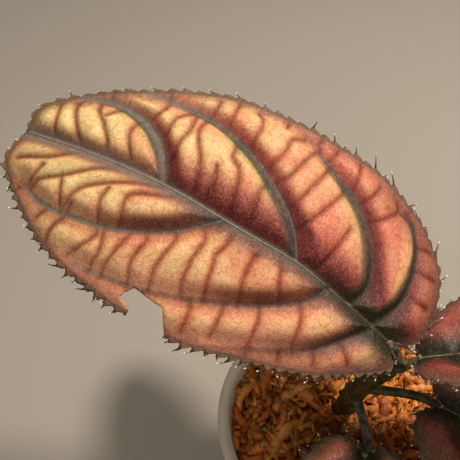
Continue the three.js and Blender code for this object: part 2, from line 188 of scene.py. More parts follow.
# Stage, in metres. Each light has a name, a place, a size, a power and a colour; the
# power of the key light is a setting of the panel.
FLOOR_RADIUS = 6
SKY_COLOUR = (0.9, 0.95, 1.0, 1)
SKY_STRENGTH = 0.12
LIGHTS = (
    ("key", (0.25, 0.16, 0.62), 0.11, None, (1.0, 0.96, 0.9)),
    ("overhead", (-0.18, 0.2, 0.75), 0.6, 0.7, (1.0, 0.97, 0.93)),
    ("fill", (-0.15, -0.55, 0.6), 0.5, 1.2, (1.0, 0.97, 0.94)),
)
LIT_PLACE = (-0.02, 0.02, 0.1)
CAMERA_PLACE = (-0.0357, -0.0841, 0.2585)
CAMERA_TILT = math.radians(40)
CAMERA_LENS = 50
CAMERA_SENSOR = 36
CAMERA_NEAR = 0.005


def rgb(red, green, blue):
    """Linear colour of a display colour given in 0 to 255."""
    def linear(part):
        part /= 255
        return part / 12.92 if part <= 0.04045 else ((part + 0.055) / 1.055) ** 2.4
    return (linear(red), linear(green), linear(blue), 1.0)


def smooth(value, low, high):
    """Eases from 0 at low to 1 at high."""
    share = np.clip((value - low) / (high - low), 0, 1)
    return share * share * (3 - 2 * share)


# Settings that a user would change

class ArdisiaSettings(bpy.types.PropertyGroup):
    """Sizes and colours of the plant"""

    blade_columns: IntProperty(
        name="Blade columns", description="Faces along the large blade", default=372, min=80)
    blade_rows: IntProperty(
        name="Blade rows", description="Faces across the large blade", default=116, min=20)
    blade_thickness: FloatProperty(
        name="Blade thickness", description="Thickness of each blade", default=0.6 * MM, unit="LENGTH")
    bristle_length: FloatProperty(
        name="Bristle length", description="Length of a margin bristle", default=2.3 * MM, unit="LENGTH")
    strands: IntProperty(
        name="Moss strands", description="Strands of moss that show", default=430, min=0)
    leaflets: IntProperty(
        name="Moss leaflets", description="Leaflets along each strand of moss", default=8, min=0)
    crest_tip: FloatVectorProperty(
        name="Tip colour", description="Panels near the blade's tip", subtype="COLOR", size=4,
        default=rgb(250, 212, 140))
    crest_base: FloatVectorProperty(
        name="Base colour", description="Panels near the blade's base", subtype="COLOR", size=4,
        default=rgb(234, 152, 112))
    floor_colour: FloatVectorProperty(
        name="Floor colour", description="Plain floor", subtype="COLOR", size=4,
        default=rgb(178, 165, 148))
    key_power: FloatProperty(
        name="Key light", description="Power of the main light", default=3.7, unit="POWER")


# Smooth lines through chosen points

def fine_line(points):
    """A dense smooth line through points, with the run from its start to each place."""
    knots = np.array([points[0], *points, points[-1]], dtype=float)
    t = np.linspace(0, 1, 24, endpoint=False)[:, None]
    parts = []
    for before, start, end, after in zip(knots, knots[1:], knots[2:], knots[3:]):
        parts.append(0.5 * (2 * start + (end - before) * t
                            + (2 * before - 5 * start + 4 * end - after) * t ** 2
                            + (3 * start - 3 * end + after - before) * t ** 3))
    line = np.vstack([*parts, knots[-1:]])
    run = np.concatenate([[0], np.cumsum(np.linalg.norm(np.diff(line, axis=0), axis=1))])
    return line, run


def places(points, shares):
    """Places on the smooth line at shares of its length."""
    line, run = fine_line(points)
    wanted = np.clip(shares, 0, 1) * run[-1]
    return np.stack([np.interp(wanted, run, line[:, k]) for k in range(line.shape[1])], axis=1)


def headings(points, shares):
    """Unit directions of the smooth line at shares of its length."""
    step = 0.002
    along = places(points, np.minimum(shares + step, 1)) - places(points, np.maximum(shares - step, 0))
    return along / np.linalg.norm(along, axis=1)[:, None]


def nearest(points, lines):
    """Where the nearest line is: its distance, its place, 1 on its tip side, and the share along it."""
    best = np.full(len(points), np.inf)
    foot = np.zeros_like(points)
    tipward, run = np.zeros((2, len(points)))
    for line in lines:
        side = math.copysign(1, line[-1][0] - line[0][0])
        for index, (start, end) in enumerate(zip(line, line[1:])):
            along = end - start
            offset = points - start
            share = np.clip(offset @ along / (along @ along), 0, 1)
            away = offset - share[:, None] * along
            gap = np.hypot(away[:, 0], away[:, 1])
            normal = side * np.array([-along[1], along[0]]) / np.hypot(*along)
            closer = gap < best
            best[closer] = gap[closer]
            foot[closer] = (points - away)[closer]
            tipward[closer] = smooth(away[closer] @ normal, -0.4, 0.4)
            run[closer] = (index + share[closer]) / (len(line) - 1)
    return best, foot, tipward, run


# The form of a leaf

def full_leaf(leaf):
    """Fills in a leaf that is given by its length and half width."""
    length, half = leaf["length"], leaf["half_width"]

    def at(x, y):
        return (x * half, y * length)

    def edge(side):
        lobe = leaf["lobe"]
        return [at(0, 0), at(0.25 * side, -lobe), at(0.62 * side, 0.06 - lobe), at(0.94 * side, 0.2),
                at(side, 0.42), at(0.88 * side, 0.66), at(0.52 * side, 0.87), at(0, 1)]

    def vein(side, start):
        reach = 0.82 * math.sin(math.pi * min(start + 0.2, 1) ** 0.8) ** 0.6
        return [at(0, start), at(0.34 * side * reach, start + 0.035),
                at(0.72 * side * reach, start + 0.12), at(side * reach, start + 0.25)]

    def net(side, veins):
        lines = []
        for low, high in zip(veins, veins[1:]):
            for share in (0.2, 0.42, 0.64, 0.86):
                lines.append([tuple(p) for p in (places(low, np.array([share]))[0],
                                                 places(high, np.array([max(share - 0.12, 0.02)]))[0])])
        for index, share in enumerate((0.12, 0.26, 0.4, 0.55, 0.7, 0.82)):
            root = places(veins[min(index, len(veins) - 1)], np.array([0.75]))[0]
            lines.append([tuple(root), at(0.93 * side, share + 0.06)])
        return lines

    right = [vein(1, start) for start in VEIN_STARTS]
    left = [vein(-1, start + 0.03) for start in VEIN_STARTS]
    return {**leaf, "petiole": 1.3, "teeth": 24, "puff": 1.6, "veins": right + left,
            "midrib": [at(0, 0), at(0.03, 0.5), at(0, 1)], "right": edge(1), "left": edge(-1),
            "net": net(1, right) + net(-1, left), "bite": []}


def turning(leaf):
    """Rotation of the leaf's own frame: heading, then rise, then roll."""
    z, x, y = (math.radians(a) for a in (leaf["heading"] - 90, leaf["rise"], -leaf["roll"]))
    about_z = np.array([[math.cos(z), -math.sin(z), 0], [math.sin(z), math.cos(z), 0], [0, 0, 1]])
    about_x = np.array([[1, 0, 0], [0, math.cos(x), -math.sin(x)], [0, math.sin(x), math.cos(x)]])
    about_y = np.array([[math.cos(y), 0, math.sin(y)], [0, 1, 0], [-math.sin(y), 0, math.cos(y)]])
    return about_z @ about_x @ about_y


def settled(leaf, flat, height):
    """World places, in metres, of flat points lifted off the blade by height in millimetres."""
    length = leaf["midrib"][-1][1]
    half = math.radians(leaf["arch"]) / 2
    bend = 2 * half / length
    tilt = half - bend * flat[:, 1]
    folded = math.tan(math.radians(leaf["fold"])) * (np.hypot(flat[:, 0], 2) - 2)
    lift = height + folded - leaf["droop"] * (flat[:, 0] / leaf["half_width"]) ** 2
    along = (math.sin(half) - np.sin(tilt)) / bend
    up = (np.cos(tilt) - math.cos(half)) / bend
    local = np.stack([flat[:, 0], along - lift * np.sin(tilt), up + lift * np.cos(tilt)], axis=1)
    return (local @ turning(leaf).T + np.array(leaf["base"])) * MM


def margin(leaf, side, shares):
    """Flat points of the plain margin, the height of its teeth, and its outward and forward directions."""
    points = leaf["right" if side > 0 else "left"]
    ahead = headings(points, shares)
    outward = np.stack([ahead[:, 1], -ahead[:, 0]], axis=1) * side
    place = shares * leaf["teeth"]
    tooth = np.interp(place % 1, (0, 0.2, 0.5, TOOTH_PEAK, 0.86, 1), (0, 0.5, 0.88, 1, 0.45, 0))
    tall = TOOTH_LENGTH * (1 + 0.22 * np.sin(np.floor(place) * 1.7 + side))
    ends = smooth(shares, 0.01, 0.07) * smooth(-shares, -1, -0.985)
    return places(points, shares), (tall * tooth * ends)[:, None], outward, ahead


def inside(points, outline):
    """Whether each flat point lies within a closed outline."""
    within = np.zeros(len(points), dtype=bool)
    for (x1, y1), (x2, y2) in zip(outline, outline[1:] + outline[:1]):
        crosses = (y1 > points[:, 1]) != (y2 > points[:, 1])
        edge = x1 + (points[:, 1] - y1) / (y2 - y1) * (x2 - x1)
        within ^= crosses & (points[:, 0] < edge)
    return within


def sampled(lines):
    """Lines cut into short straight pieces."""
    cut = []
    for line in lines:
        run = fine_line(line)[1][-1]
        cut.append(places(line, np.linspace(0, 1, max(3, int(run / 1.6)))))
    return cut


def joined(line, stops):
    """The line, run on at both ends to the nearest stop that lies ahead and close."""
    line = [np.array(point, dtype=float) for point in line]
    for _ in range(2):
        line.reverse()
        offset = stops - line[-1]
        gap = np.hypot(offset[:, 0], offset[:, 1])
        ahead = offset @ (line[-1] - line[-2]) > 0.6 * gap * np.linalg.norm(line[-1] - line[-2])
        close = np.where(ahead & (gap < NET_JOIN), gap, np.inf)
        if np.isfinite(close.min()):
            line.append(stops[close.argmin()])
    return line


def beside(gap, reach):
    """1 on a line, fading to nothing within about twice the reach."""
    return np.exp(-(gap / reach) ** 2)


def blade_fields(leaf, flat, right):
    """Height of the relief over the blade, and the distances that its markings follow."""
    rim_gap = nearest(flat, sampled([leaf["right"], leaf["left"]]))[0]
    midrib_gap = nearest(flat, sampled([leaf["midrib"]]))[0]
    veins = sampled(leaf["veins"])
    of_right = nearest(flat, [line for line in veins if line[-1][0] > line[0][0]])
    of_left = nearest(flat, [line for line in veins if line[-1][0] < line[0][0]])
    vein_gap, tipward, vein_run = (np.where(right, of_right[k], of_left[k]) for k in (0, 2, 3))
    stops = np.vstack([*veins, *sampled([leaf["midrib"]])])
    net_gap = nearest(flat, sampled([joined(line, stops) for line in leaf["net"]]))[0]
    gap = np.minimum(midrib_gap, vein_gap)
    brim = smooth(rim_gap, -1.5, 7)
    pillow = (1 - beside(gap, PANEL_REACH)) * brim
    pillow *= 1 - LEFT_CALM * smooth(-flat[:, 0] / leaf["half_width"], 0.3, 0.55)
    height = PANEL_RISE * leaf["puff"] * pillow
    height -= CREASE_DEPTH * np.exp(-net_gap / CREASE_REACH) * pillow
    for line_gap, lines in ((vein_gap, VEIN_LINES), (midrib_gap, MIDRIB_LINES)):
        for rise, reach in lines:
            height += rise * beside(line_gap, reach)
    height += 0.35 * (1 - smooth(rim_gap, 0, 6)) * np.sin(flat[:, 1] / 3.1) * np.cos(flat[:, 0] / 5)
    # Crest: 1 on the panel tops, away from veins and creases; the material paints these tops lighter and the
    # valleys darker, as painted light and shade
    crest = (1 - beside(gap, 3.4)) * (1 - 0.65 * np.exp(-net_gap))
    length = leaf["midrib"][-1][1]
    narrowing = 1 - (1 - BAND_NEAR_TIP) * smooth(flat[:, 1] / length, 0.32, 0.5)
    fields = {"crest": crest * smooth(rim_gap, -1, 4), "midrib_gap": midrib_gap, "vein_gap": vein_gap,
              "tipward": tipward, "vein_run": vein_run, "net_gap": net_gap, "rim_gap": rim_gap,
              "band_gap": vein_gap / np.interp(vein_run, BAND_PLACES, BAND_WIDTHS) / narrowing,
              "reach": flat[:, 1] / length, "base_gap": np.hypot(flat[:, 0], flat[:, 1]) / length}
    return height, fields


# Making pieces

def set_mode(mode):
    """Enters edit mode or object mode."""
    bpy.ops.object.mode_set(mode=mode)


def deselect():
    """Leaves object mode with nothing selected."""
    if bpy.context.object and bpy.context.object.mode != "OBJECT":
        set_mode("OBJECT")
    bpy.ops.object.select_all(action="DESELECT")


def store(mesh, fields):
    """Keeps values on the mesh's points for its material to read."""
    for name, values in fields.items():
        attribute = mesh.attributes.new(name, "FLOAT", "POINT")
        attribute.data.foreach_set("value", np.asarray(values, dtype=np.float32))


def settle(piece, slot, *nodes):
    """Makes the piece part of the object."""
    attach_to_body(piece, ROOT)
    if nodes:
        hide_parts(*nodes)


def new_piece(name, points, edges, faces):
    """An object at the origin, of given points, edges and faces."""
    mesh = bpy.data.meshes.new(name)
    mesh.from_pydata(points, edges, faces)
    piece = bpy.data.objects.new(name, mesh)
    bpy.context.collection.objects.link(piece)
    return piece


def edit_whole(piece):
    """Opens the piece alone for editing, with all of it selected."""
    deselect()
    bpy.context.view_layer.objects.active = piece
    piece.select_set(True)
    set_mode("EDIT")
    bpy.ops.mesh.select_all(action="SELECT")


def smooth_outwards(piece):
    """Turns the faces outwards and shades them smoothly."""
    edit_whole(piece)
    bpy.ops.mesh.normals_make_consistent(inside=False)
    set_mode("OBJECT")
    bpy.ops.object.shade_smooth()


def tubes(name, routes, radii, sides, fields=None):
    """Many closed tubes in one mesh. Each route has its own radii, all in metres."""
    verts, faces, run = [], [], []
    extra = {key: [] for key in (fields or {})}
    angles = np.linspace(0, 2 * math.pi, sides, endpoint=False)
    for index, (route, radius) in enumerate(zip(routes, radii)):
        route = np.asarray(route)
        ahead = np.gradient(route, axis=0)
        ahead /= np.linalg.norm(ahead, axis=1)[:, None]
        side = np.cross(ahead, (0.13, 0.31, 0.94))
        side /= np.linalg.norm(side, axis=1)[:, None]
        up = np.cross(side, ahead)
        first = len(verts)
        ring = np.cos(angles)[None, :, None] * side[:, None] + np.sin(angles)[None, :, None] * up[:, None]
        points = route[:, None] + ring * np.asarray(radius)[:, None, None]
        verts.extend(points.reshape(-1, 3))
        count = len(route)
        run.extend(np.repeat(np.linspace(0, 1, count), sides))
        for key in extra:
            extra[key].extend([fields[key][index]] * (count * sides))
        for i in range(count - 1):
            for k in range(sides):
                a = first + i * sides + k
                b = first + i * sides + (k + 1) % sides
                faces.append((a, a + sides, b + sides, b))
        faces.append(tuple(first + k for k in range(sides)))
        last = first + (count - 1) * sides
        faces.append(tuple(last + k for k in reversed(range(sides))))
    piece = new_piece(name, [tuple(v) for v in verts], [], faces)
    store(piece.data, {"run": run, **extra})
    smooth_outwards(piece)
    return piece


def turned(name, profile, steps):
    """A body turned about the upright axis from a profile of (radius, height) in millimetres."""
    points = [(r * MM, 0, z * MM) for r, z in profile]
    piece = new_piece(name, points, [(i, i + 1) for i in range(len(points) - 1)], [])
    edit_whole(piece)
    bpy.ops.mesh.spin(steps=steps, angle=2 * math.pi, center=(0, 0, 0), axis=(0, 0, 1))
    bpy.ops.mesh.select_all(action="SELECT")
    bpy.ops.mesh.remove_doubles(threshold=0.00002)
    bpy.ops.mesh.normals_make_consistent(inside=False)
    set_mode("OBJECT")
    bpy.ops.object.shade_smooth_by_angle(angle=math.radians(40))
    return piece


# Finishes

class Finish:
    """A material, the colour laid up so far, and short calls for its nodes."""

    def __init__(self, name):
        self.material = bpy.data.materials.new(name)
        self.material.use_nodes = True
        self.tree = self.material.node_tree
        self.colour = None

    def link(self, value, socket):
        """Puts a value, or another node's output, into a socket."""
        if isinstance(value, bpy.types.NodeSocket):
            self.tree.links.new(value, socket)
        else:
            socket.default_value = value

    def node(self, kind, inputs=None, **options):
        """The outputs of a new node, after its options and its inputs are set."""
        node = self.tree.nodes.new("ShaderNode" + kind)
        for name, value in options.items():
            setattr(node, name, value)
        for name, value in (inputs or {}).items():
            self.link(value, node.inputs[name])
        return node.outputs

    def given(self, name):
        """A value kept on the mesh."""
        return self.node("Attribute", attribute_name=name)["Fac"]

    def sum(self, operation, first, second):
        """One step of arithmetic, kept within 0 and 1."""
        return self.node("Math", {0: first, 1: second}, operation=operation, use_clamp=True)[0]

    def times(self, *shares):
        """The product of several shares."""
        return reduce(partial(self.sum, "MULTIPLY"), shares)

    def plus(self, *shares):
        """The sum of several shares, 1 at most."""
        return reduce(partial(self.sum, "ADD"), shares)

    def rest(self, share):
        """What a share leaves of 1."""
        return self.sum("SUBTRACT", 1, share)

    def eased(self, value, low, high, start=0, end=1):
        """Eases from start at low to end at high."""
        inputs = {"From Min": low, "From Max": high, "To Min": start, "To Max": end, "Value": value}
        return self.node("MapRange", inputs, interpolation_type="SMOOTHSTEP")["Result"]

    def near(self, value, inner, outer):
        """1 up to inner, easing to 0 at outer."""
        return self.eased(value, inner, outer, 1, 0)

    def mix(self, share, under, over, blend="MIX"):
        """One colour over another by a share."""
        inputs = {"Factor": share, "A": under, "B": over}
        return self.node("Mix", inputs, data_type="RGBA", blend_type=blend)["Result"]

    def lay(self, over, *shares, blend="MIX"):
        """Lays a colour over the colour so far by the product of the shares."""
        self.colour = self.mix(self.times(*shares), self.colour, over, blend)

    def coordinates(self):
        """Places on the piece, in metres."""
        return self.node("TexCoord")["Object"]

    def height(self):
        """Height on the piece, in metres."""
        return self.node("SeparateXYZ", {0: self.coordinates()})["Z"]

    def noise(self, size, detail=2, roughness=0.5):
        """Soft noise whose blotches are about size in metres."""
        inputs = {"Scale": 1 / size, "Detail": detail, "Roughness": roughness, "Vector": self.coordinates()}
        return self.node("TexNoise", inputs)["Fac"]

    def drifted(self, value, noise, amount):
        """A distance made uneven by noise."""
        moved = self.node("Math", {0: noise, 1: amount, 2: value}, operation="MULTIPLY_ADD")
        return self.node("Math", {0: moved[0], 1: amount / 2}, operation="SUBTRACT")[0]

    def cells(self, size, feature="F1", wander=0):
        """A cell pattern with cells of about size: distance and a random colour for each cell."""
        place = self.coordinates()
        if wander:
            noise = self.node("TexNoise", {"Scale": 0.6 / size, "Vector": place})
            inputs = {0: noise["Color"], 1: (2 * wander,) * 3, 2: place}
            place = self.node("VectorMath", inputs, operation="MULTIPLY_ADD")[0]
        return self.node("TexVoronoi", {"Scale": 1 / size, "Vector": place}, feature=feature)

    def bump(self, height, strength, distance, under=None):
        """A bump of the given height, on top of another."""
        inputs = {"Strength": strength, "Distance": distance, "Height": height}
        if under is not None:
            inputs["Normal"] = under
        return self.node("Bump", inputs)["Normal"]

    def done(self, **values):
        """Sets the shader's own sockets by name and hands back the material."""
        shader = self.tree.nodes["Principled BSDF"]
        for name, value in values.items():
            self.link(value, shader.inputs[name.replace("_", " ").title().replace("Ior", "IOR")])
        return self.material


def leaf_finish(name, tip, base, wine_share=1, green_share=0, rib_share=0.12, dark_reach=1, glow=1):
    """Upper face of a blade: warm panels with painted light on their tops, wine flanks that are partly
    painted shade, grey vein bands and a fine glitter with painted glints.
    """
    f = Finish(name)
    midrib, vein, net, rim = map(f.given, ("midrib_gap", "vein_gap", "net_gap", "rim_gap"))
    reach, tipward, right, high = map(f.given, ("reach", "tipward", "right", "crest"))
    from_base, vein_run, banded = map(f.given, ("base_gap", "vein_run", "band_gap"))
    left = f.rest(right)
    basal = f.rest(tipward)
    patch = f.noise(11 * MM, 3)
    fleck = f.noise(1.3 * MM, 3, 0.65)
    grain = f.cells(0.42 * MM)
    web = f.cells(2.8 * MM, "DISTANCE_TO_EDGE", 0.9 * MM)["Distance"]
    uneven = f.drifted(vein, fleck, 1.6)
    banded = f.drifted(banded, fleck, 0.28)

    # Panels, from rose near the base to gold near the tip. Their tops are painted lighter and the valleys
    # between them darker, partly as painted light and shade on the relief
    tipwards = f.eased(reach, 0.15, 0.85)
    crest = f.mix(tipwards, base, tip)
    low = f.mix(1, crest, f.mix(tipwards, rgb(208, 173, 188), rgb(181, 149, 153)), "MULTIPLY")
    # Painted shade: darker panels on the right half near the base, which faces the key light
    crest = f.mix(f.times(right, f.near(reach, 0.15, 0.52), 0.5 * glow), crest, rgb(206, 116, 88))
    f.colour = f.mix(f.eased(high, 0.1, 0.8), low, crest)
    # Gold on the panel tops towards the tip: partly the leaf's colour, partly a painted highlight
    gold = f.times(f.eased(patch, 0.42, 0.62), f.eased(high, 0.5, 1, 0, 0.9))
    f.lay(rgb(255, 226, 158), gold, f.eased(reach, 0.5, 0.85, 0.05, 1))
    # Painted light: a lighter wash and gold tops on the left half, which the key light leaves dimmer
    f.lay(rgb(255, 170, 118), left, f.near(reach, 0.5, 0.9), 0.48 * glow)
    f.lay(rgb(255, 216, 150), left, f.eased(high, 0.5, 0.95, 0, 0.45 * glow), f.near(reach, 0.6, 0.95))
    f.lay(rgb(218, 112, 86), f.eased(patch, 0.52, 0.36), f.near(reach, 0.5, 1.1), 0.5)
    middle = f.times(f.eased(vein_run, 0.1, 0.35), f.near(vein_run, 0.5, 0.9))
    # Cream on the tip side of the right half's vein bands: partly the leaf's colour, partly painted light on
    # the flank that faces the key light
    f.lay(rgb(242, 178, 124), right, tipward, f.near(banded, 1.5, 2.9), f.eased(net, 0.3, 1.4, 0.3, 0.6))
    f.lay(rgb(176, 166, 86), right, tipward, middle, f.near(banded, 1.15, 1.65),
          f.eased(patch, 0.35, 0.6, 0.4, 0.8), f.eased(reach, 0.15, 0.3, 0.3, 1))
    # A brownish band along the margin: the leaf's own colour, painted darker on the right half as shade on
    # the strip that faces away from the light
    margin_tone_and_shade = f.mix(right, f.mix(glow, rgb(134, 62, 60), rgb(200, 124, 98)), rgb(146, 94, 74))
    f.lay(margin_tone_and_shade, f.near(rim, 0.5, 5.5), f.eased(fleck, 0.35, 0.6, 0.4, 0.8))
    # Painted shade: the right half's base lobe darker near the margin
    f.lay(rgb(138, 80, 60), right, f.near(rim, 5, 12), f.near(reach, 0.1, 0.26), 0.75)

    # Flanks of the panels: painted light on the left half's flanks that lie in the relief's shade; rust and
    # wine on the flanks that face away from the light, partly the leaf's own colour and partly painted shade
    painted_light_flank = f.eased(vein_run, 0.3, 0.65, 0, 0.7 * glow)
    f.lay(f.mix(tipwards, rgb(252, 166, 138), rgb(255, 190, 140)), left, tipward, f.near(uneven, 2, 6.5),
          painted_light_flank)
    # Wine and rust: partly the leaf's own colour, partly painted shade on the flanks away from the key light
    wine = f.mix(right, rgb(106, 60, 46), rgb(106, 32, 32))
    rust_tint_and_shade = f.mix(right, rgb(156, 92, 62), rgb(176, 84, 66))
    inner = f.eased(rim, 2, 13, 0.2, 1)
    beside_midrib = f.times(right, f.near(midrib, 2.5, 15), f.near(reach, 0.5, 0.86), 0.9)
    right_flank = f.times(right, basal, f.near(uneven, 0.8, 5.6), inner,
                          f.eased(reach, 0.25, 0.45, 0.85, 0.7))
    left_flank = f.times(left, tipward, f.near(uneven, 0.8, 6.4), f.near(reach, 0.6, 0.92),
                         f.near(midrib, 9, 24), f.eased(from_base, 0.2, 0.34, 0.35, 1))
    under_vein = f.times(left, basal, f.near(uneven, 0.6, 4), f.near(reach, 0.45, 0.8), 0.5)
    flank_tint_and_shade = f.plus(beside_midrib, right_flank, left_flank, under_vein)
    speckled_tint_and_shade = f.times(flank_tint_and_shade, f.eased(fleck, 0.32, 0.6, 0.84, 1), wine_share)
    f.lay(rust_tint_and_shade, f.eased(speckled_tint_and_shade, 0, 0.7, 0, 0.85))
    f.lay(wine, f.eased(speckled_tint_and_shade, 0.35, 0.95, 0, 0.9))

    # Creases over the net and the finest veins: a darker line along each, and a wider painted shade in the
    # crease
    f.lay(rgb(200, 146, 124), f.near(net, 0.2, 1.9), 0.5, blend="MULTIPLY")
    f.lay(rgb(138, 98, 82), f.near(net, 0.1, 0.75), 0.5, blend="MULTIPLY")
    f.lay(rgb(186, 134, 112), f.near(web, 0.02, 0.09), f.eased(fleck, 0.42, 0.6, 0, 0.4),
          blend="MULTIPLY")

    # Grey bands beside the veins and the midrib, and a dark margin
    bands = f.plus(f.times(right, tipward, f.near(banded, 0.75, 1.15), f.near(vein_run, 0.7, 1)),
                   f.times(f.near(vein, 0.2, 1.1), 0.7, f.near(vein_run, 0.8, 1)),
                   f.times(left, f.near(midrib, 0.8, 4.6), 0.8), f.near(midrib, 0.4, 1.3))
    band = f.times(bands, f.eased(fleck, 0.3, 0.6, 0.84, 1))
    plum = f.times(left, f.near(midrib, 2.4, 6.8), f.near(reach, 0.5, 0.72), 0.8)
    grey = f.mix(f.near(vein, 1.6, 3.4), rgb(94, 82, 69), rgb(66, 60, 54))
    f.lay(rgb(108, 66, 54), plum, f.eased(fleck, 0.32, 0.6, 0.7, 1))
    f.lay(grey, band, 0.92)
    f.lay(rgb(146, 110, 92), f.near(rim, 0.4, 2.4), 0.45)
    f.lay(rgb(92, 76, 50), f.near(rim, 0.4, 1), 0.65)

    # Dark green at the base of the blade
    low_down = f.near(from_base, 0.09 * dark_reach, 0.33 * dark_reach)
    groove = f.plus(f.near(midrib, 1.2, 4.4),
                    f.times(f.near(vein, 0.9, 3.2), f.eased(tipward, 0, 1, 0.35, 1)))
    speckle = f.eased(fleck, 0.34, 0.58, 0.35, 1)
    clear = f.rest(f.times(right, basal, 0.8))
    beside = f.plus(f.near(midrib, 2, 7.5), f.times(f.near(vein, 1.5, 4.5), clear), f.near(rim, 0.8, 3.5))
    dusk = f.mix(right, rgb(106, 82, 76), rgb(86, 54, 48))
    f.lay(dusk, low_down, beside, speckle, 0.62)
    f.lay(rgb(46, 42, 20), low_down, groove, 0.92)
    at_base = f.near(from_base, 0.03 * dark_reach, 0.15 * dark_reach)
    f.lay(rgb(46, 44, 20), at_base, f.near(midrib, 2, 8.5), 0.9)
    blush = f.times(left, f.near(midrib, 4, 9), f.eased(reach, 0.6, 0.8, 0, 0.2))
    f.lay(rgb(186, 96, 76), blush, f.eased(net, 0.6, 2, 0.3, 1))

    # Hoary greys along the veins and midrib towards the tip, and their thin pale lines
    beside_vein = f.mix(right, f.near(vein, 0.2, 1.2), f.near(vein, 0.4, 1.9))
    hoary = f.sum("MAXIMUM", f.near(midrib, 1, 3.2), beside_vein)
    f.lay(rgb(128, 114, 102), f.eased(reach, 0.5, 0.8, 0, 0.85), hoary, speckle)
    f.lay(rgb(118, 106, 48), f.eased(reach, 0.955, 1, 0, 0.35), f.near(rim, 0.5, 5),
          f.eased(right, 0, 1, 0.2, 1))
    f.lay(rgb(144, 134, 122), f.near(vein, 0.04, 0.24), f.near(midrib, 6, 20),
          f.eased(reach, 0.15, 0.36, 0.06, 0.4))
    f.lay(rgb(62, 54, 42), f.near(midrib, 0.26, 0.5), f.eased(reach, 0.4, 0.8, 0.8, 0.2))
    f.lay(rgb(150, 138, 122), f.near(midrib, 0.1, 0.28), f.eased(reach, 0.06, 0.42, rib_share, 0.85),
          f.eased(reach, 0.6, 0.9, 1, 0.6))
    f.lay(rgb(52, 56, 24), green_share)

    # Glitter: random dull cells darker, and painted glints added to the colour of the shining cells,
    # brighter on the panel tops; the shining cells are also glossier
    f.lay(rgb(190, 158, 142), f.eased(grain["Color"], 0.6, 0.1), 0.4, blend="MULTIPLY")
    spark = f.times(f.near(grain["Distance"], 0.2, 0.6), f.eased(grain["Color"], 0.5, 0.8))
    f.lay(rgb(100, 86, 76), spark, f.eased(high, 0, 0.4, 0.5, 1), f.eased(reach, 0.5, 0.9, 1, 0.4),
          blend="ADD")
    grainy = f.bump(f.rest(grain["Distance"]), 0.5, 0.15 * MM)
    normal = f.bump(f.noise(1.6 * MM, 2), 0.25, 0.5 * MM, grainy)
    return f.done(base_color=f.colour, roughness=f.eased(spark, 0, 1, 0.58, 0.3), normal=normal,
                  specular_ior_level=0.22)


def underside_finish():
    """Lower face of a blade: dull wine green with paler ribs."""
    f = Finish("leaf underside")
    patch = f.noise(6 * MM, 3)
    f.colour = f.mix(f.eased(patch, 0.35, 0.65), rgb(122, 72, 62), rgb(104, 96, 62))
    ribs = f.plus(f.near(f.given("vein_gap"), 0.3, 0.9), f.near(f.given("midrib_gap"), 0.6, 1.4))
    f.lay(rgb(160, 138, 104), ribs, 0.7)
    f.lay(rgb(150, 122, 92), f.near(f.given("net_gap"), 0.15, 0.5), 0.5)
    return f.done(base_color=f.colour, roughness=0.55, normal=f.bump(f.noise(0.5 * MM, 2), 0.3, 0.1 * MM))


def bristle_finish():
    """Olive bristle that pales to a clear white gland."""
    f = Finish("bristle")
    run = f.given("run")
    f.colour = f.mix(f.eased(run, 0.25, 0.62), rgb(72, 50, 30), rgb(112, 98, 74))
    f.lay(rgb(246, 240, 226), f.eased(run, 0.58, 0.74))
    gloss = f.eased(run, 0.5, 0.8, 0.45, 0.12)
    return f.done(base_color=f.colour, roughness=gloss, specular_ior_level=0.7)


def stalk_finish(name, dark, pale):
    """Stem and petioles: streaks between two colours, and pale dots."""
    f = Finish(name)
    streak = f.noise(2.2 * MM, 4, 0.6)
    f.colour = f.mix(f.eased(streak, 0.38, 0.68), dark, pale)
    dots = f.cells(0.8 * MM)["Distance"]
    f.lay(rgb(140, 128, 92), f.near(dots, 0.08, 0.25), 0.2)
    normal = f.bump(f.noise(0.7 * MM, 3), 0.4, 0.2 * MM)
    return f.done(base_color=f.colour, roughness=0.55, specular_ior_level=0.3, normal=normal)


def moss_finish():
    """Long-fibred moss: amber to straw strands over rusty dark ones; the deeper strands are darker as
    painted shade.
    """
    f = Finish("sphagnum")
    tone = f.given("tone")
    fleck = f.noise(1.6 * MM, 4, 0.65)
    f.colour = f.mix(f.eased(tone, 0, 0.5), rgb(140, 62, 12), rgb(214, 116, 34))
    f.lay(rgb(240, 164, 76), f.eased(tone, 0.5, 1))
    f.lay(rgb(130, 58, 12), f.eased(fleck, 0.45, 0.65), 0.4)
    normal = f.bump(f.noise(0.9 * MM, 3), 0.5, 0.3 * MM)
    return f.done(base_color=f.colour, roughness=0.5, normal=normal, subsurface_weight=0.25,
                  subsurface_scale=1.5 * MM)


def bed_finish():
    """Peaty brown fill seen between the strands, painted dark as the shade in the hollows."""
    f = Finish("moss bed")
    fleck = f.noise(2.5 * MM, 5, 0.7)
    f.colour = f.mix(f.eased(fleck, 0.38, 0.64), rgb(34, 12, 3), rgb(110, 50, 12))
    against_wall = f.mix(f.eased(fleck, 0.38, 0.6), rgb(120, 62, 22), rgb(232, 158, 82))
    f.lay(against_wall, f.near(f.height(), 56 * MM, 59 * MM))
    return f.done(base_color=f.colour, roughness=0.85, normal=f.bump(fleck, 1, 1.2 * MM))


